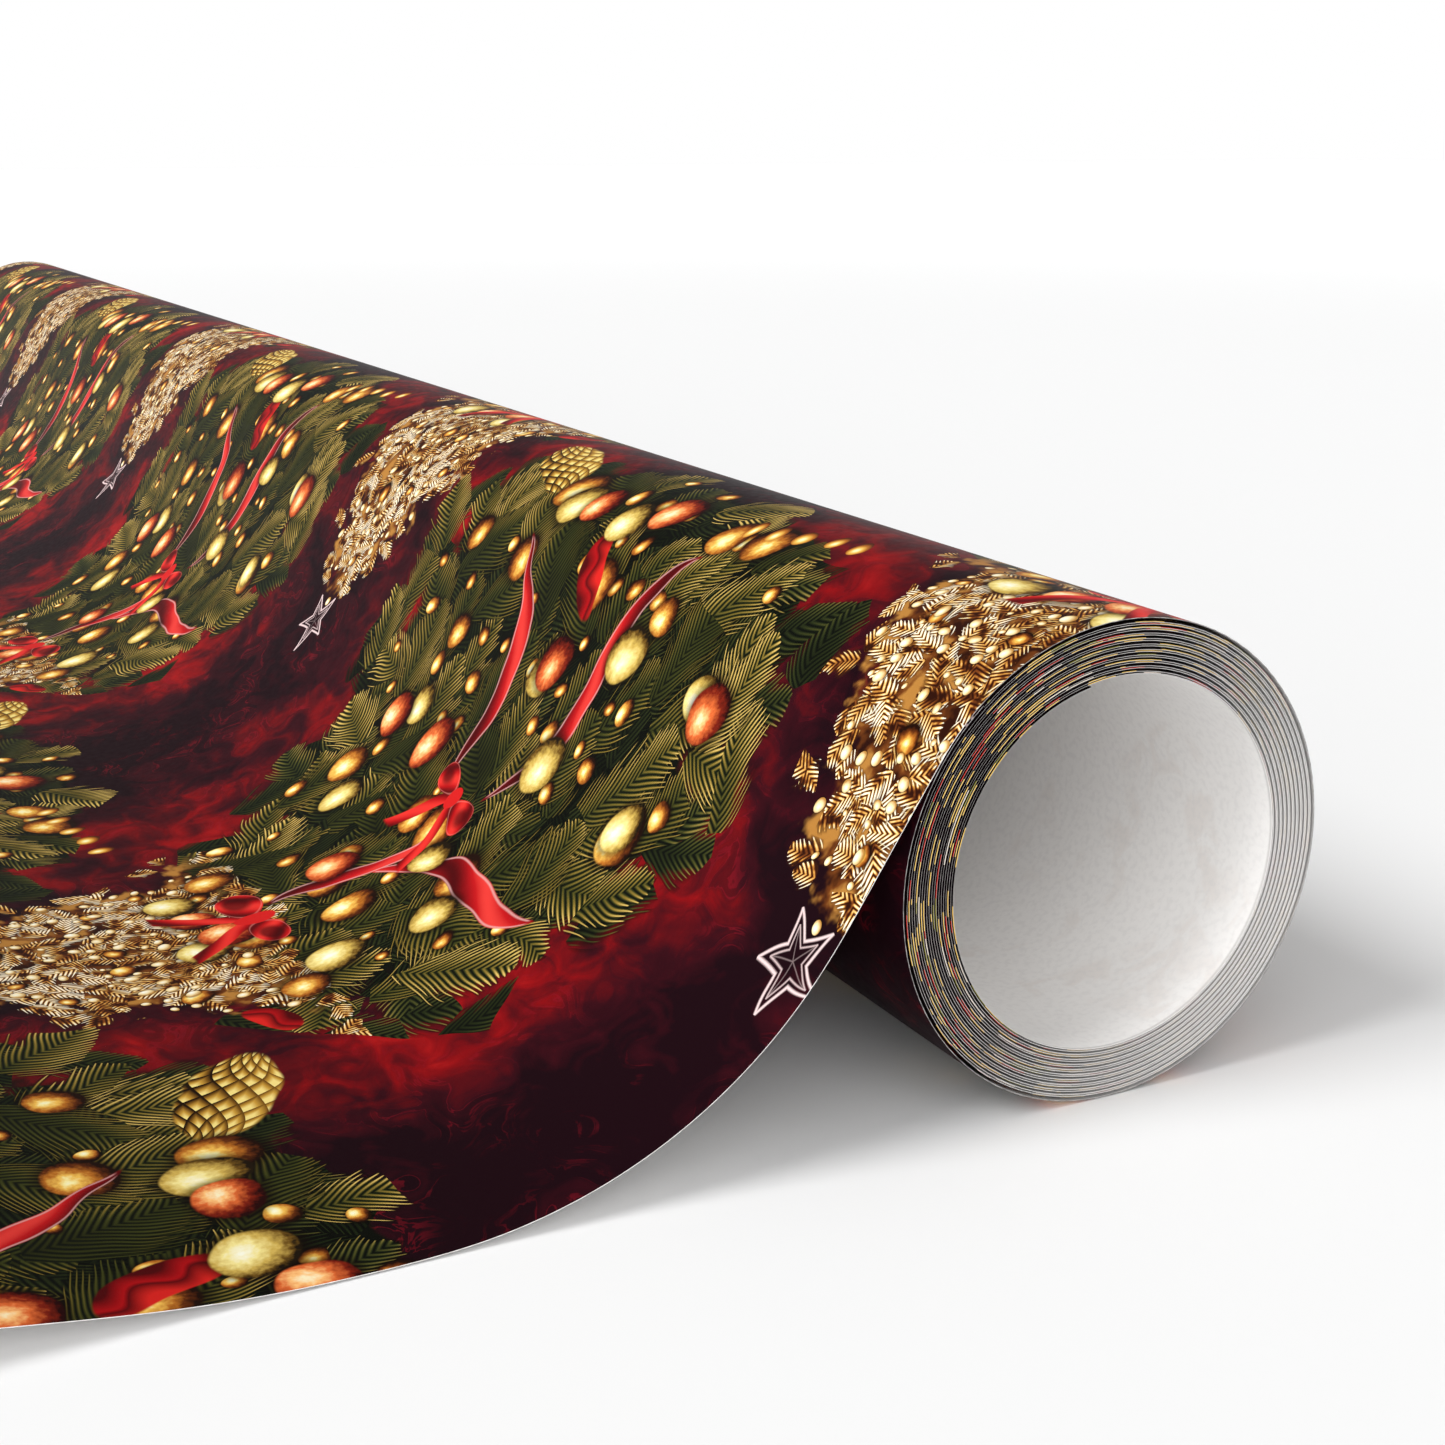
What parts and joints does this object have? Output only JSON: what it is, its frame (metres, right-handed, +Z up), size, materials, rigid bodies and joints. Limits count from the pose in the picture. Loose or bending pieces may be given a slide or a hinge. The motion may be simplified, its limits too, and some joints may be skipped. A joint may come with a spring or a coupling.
{
  "type": "wrapping paper roll",
  "caption": "Coreless roll of printed gift wrapping paper with its free end drawn off the top and laid flat on the table.",
  "frame": {"origin": "on the roll's axis at the middle of its length", "axes": "+Y along the roll, +Z up from the table, and the free end leaves towards -X"},
  "size_m": [0.1939, 0.762, 0.0599],
  "materials": {
    "printed_paper": "satin print on the outside, matt white back",
    "wound_paper": "matt white back with satin print on the outside"
  },
  "bodies": {
    "last_turn": {"last_turn": "printed_paper"},
    "coil_1": {"coil_1": "wound_paper"},
    "coil_2": {"coil_2": "wound_paper"},
    "coil_3": {"coil_3": "wound_paper"},
    "coil_4": {"coil_4": "wound_paper"},
    "coil_5": {"coil_5": "wound_paper"},
    "sheet_shoulder": {"sheet_shoulder": "printed_paper"},
    "sheet_slope": {"sheet_slope": "printed_paper"},
    "sheet_bend": {"sheet_bend": "printed_paper"},
    "sheet_foot": {"sheet_foot": "printed_paper"},
    "sheet_curl": {"sheet_curl": "printed_paper"},
    "sheet_lead": {"sheet_lead": "printed_paper"}
  },
  "joints": [
    {"name": "roll_spin", "type": "hinge", "parent": "last_turn", "child": "coil_1", "pos_m": [0, 0, 0], "axis": [0, 1, 0], "continuous": true},
    {"name": "coil_2_slide", "type": "slide", "parent": "coil_1", "child": "coil_2", "axis": [0, -1, 0], "range_m": [-0.012, 0.012]},
    {"name": "coil_3_slide", "type": "slide", "parent": "coil_2", "child": "coil_3", "axis": [0, -1, 0], "range_m": [-0.012, 0.012]},
    {"name": "coil_4_slide", "type": "slide", "parent": "coil_3", "child": "coil_4", "axis": [0, -1, 0], "range_m": [-0.012, 0.012]},
    {"name": "coil_5_slide", "type": "slide", "parent": "coil_4", "child": "coil_5", "axis": [0, -1, 0], "range_m": [-0.012, 0.012]},
    {"name": "shoulder_flex", "type": "hinge", "parent": "last_turn", "child": "sheet_shoulder", "pos_m": [-0.02514, 0, 0.01629], "axis": [0, 1, 0], "range_deg": [0, 14], "stiffness_Nm_per_rad": 0.03},
    {"name": "slope_flex", "type": "hinge", "parent": "sheet_shoulder", "child": "sheet_slope", "pos_m": [-0.03756, 0, -0.00284], "axis": [0, 1, 0], "range_deg": [0, 14], "stiffness_Nm_per_rad": 0.03},
    {"name": "bend_flex", "type": "hinge", "parent": "sheet_slope", "child": "sheet_bend", "pos_m": [-0.05075, 0, -0.01723], "axis": [0, 1, 0], "range_deg": [0, 14], "stiffness_Nm_per_rad": 0.03},
    {"name": "foot_flex", "type": "hinge", "parent": "sheet_bend", "child": "sheet_foot", "pos_m": [-0.06791, 0, -0.02655], "axis": [0, 1, 0], "range_deg": [0, 14], "stiffness_Nm_per_rad": 0.03},
    {"name": "curl_flex", "type": "hinge", "parent": "sheet_foot", "child": "sheet_curl", "pos_m": [-0.09316, 0, -0.02977], "axis": [0, 1, 0], "range_deg": [0, 14], "stiffness_Nm_per_rad": 0.03},
    {"name": "lead_flex", "type": "hinge", "parent": "sheet_curl", "child": "sheet_lead", "pos_m": [-0.11957, 0, -0.02758], "axis": [0, 1, 0], "range_deg": [0, 14], "stiffness_Nm_per_rad": 0.03}
  ],
  "couplings": [
    {"joint": "coil_3_slide", "follows": "coil_2_slide", "ratio": 1},
    {"joint": "coil_4_slide", "follows": "coil_2_slide", "ratio": 1},
    {"joint": "coil_5_slide", "follows": "coil_2_slide", "ratio": 1},
    {"joint": "slope_flex", "follows": "shoulder_flex", "ratio": 1},
    {"joint": "bend_flex", "follows": "shoulder_flex", "ratio": 1},
    {"joint": "foot_flex", "follows": "shoulder_flex", "ratio": 1},
    {"joint": "curl_flex", "follows": "shoulder_flex", "ratio": 1},
    {"joint": "lead_flex", "follows": "shoulder_flex", "ratio": 1}
  ]
}
